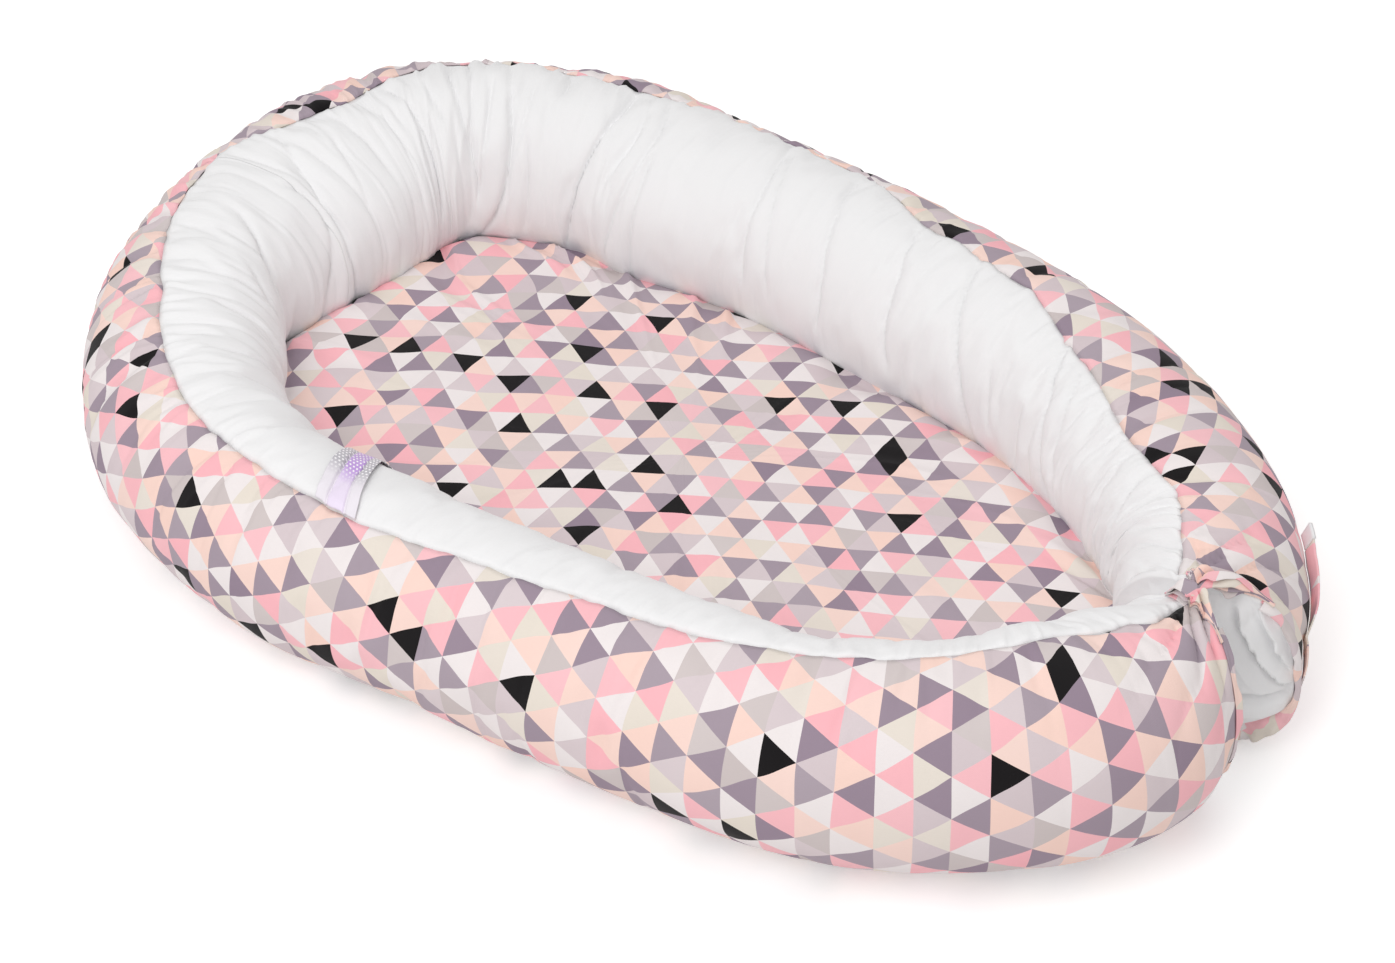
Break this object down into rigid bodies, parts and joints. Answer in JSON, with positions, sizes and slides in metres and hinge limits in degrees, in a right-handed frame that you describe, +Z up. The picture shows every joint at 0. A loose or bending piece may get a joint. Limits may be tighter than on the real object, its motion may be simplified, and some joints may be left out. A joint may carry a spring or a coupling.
{
  "type": "infant lounger",
  "caption": "Oval infant lounger: a stuffed cloth roll with a white inner side and a printed outer side, round a flat padded mattress, open at the foot.",
  "frame": {"origin": "on the surface the lounger stands on, under the middle of its outline", "axes": "+X towards the foot, where the two roll ends meet; -Y towards the arm with the ribbon; +Z up"},
  "size_m": [0.9052, 0.5955, 0.1492],
  "materials": {
    "print_cotton": "matt woven cotton with a pink, grey, peach, purple and black triangle print",
    "white_cotton": "white cotton sateen with a faint sheen",
    "wadding": "loose polyester stuffing",
    "satin": "smooth satin ribbon"
  },
  "bodies": {
    "nest": {"base_panel": "print_cotton", "mattress_filling": "wadding", "mattress_cover": "print_cotton", "head_filling": "wadding", "head_outer_cover": "print_cotton", "head_inner_cover": "white_cotton", "label_ribbon": "satin"},
    "front_arm": {"front_arm_filling": "wadding", "front_arm_outer_cover": "print_cotton", "front_arm_inner_cover": "white_cotton", "front_arm_end_cap": "white_cotton", "front_arm_hem": "print_cotton", "front_arm_gather": "print_cotton"},
    "back_arm": {"back_arm_filling": "wadding", "back_arm_outer_cover": "print_cotton", "back_arm_inner_cover": "white_cotton", "back_arm_end_cap": "white_cotton", "back_arm_hem": "print_cotton", "back_arm_gather": "print_cotton", "back_arm_flap": "print_cotton"}
  },
  "joints": [
    {"name": "front_arm_spread", "type": "hinge", "parent": "nest", "child": "front_arm", "pos_m": [0.1004, -0.288, 0], "axis": [0, 0, -1], "range_deg": [0, 15]},
    {"name": "back_arm_spread", "type": "hinge", "parent": "nest", "child": "back_arm", "pos_m": [0.0835, 0.287, 0], "axis": [0, 0, 1], "range_deg": [0, 15]}
  ]
}
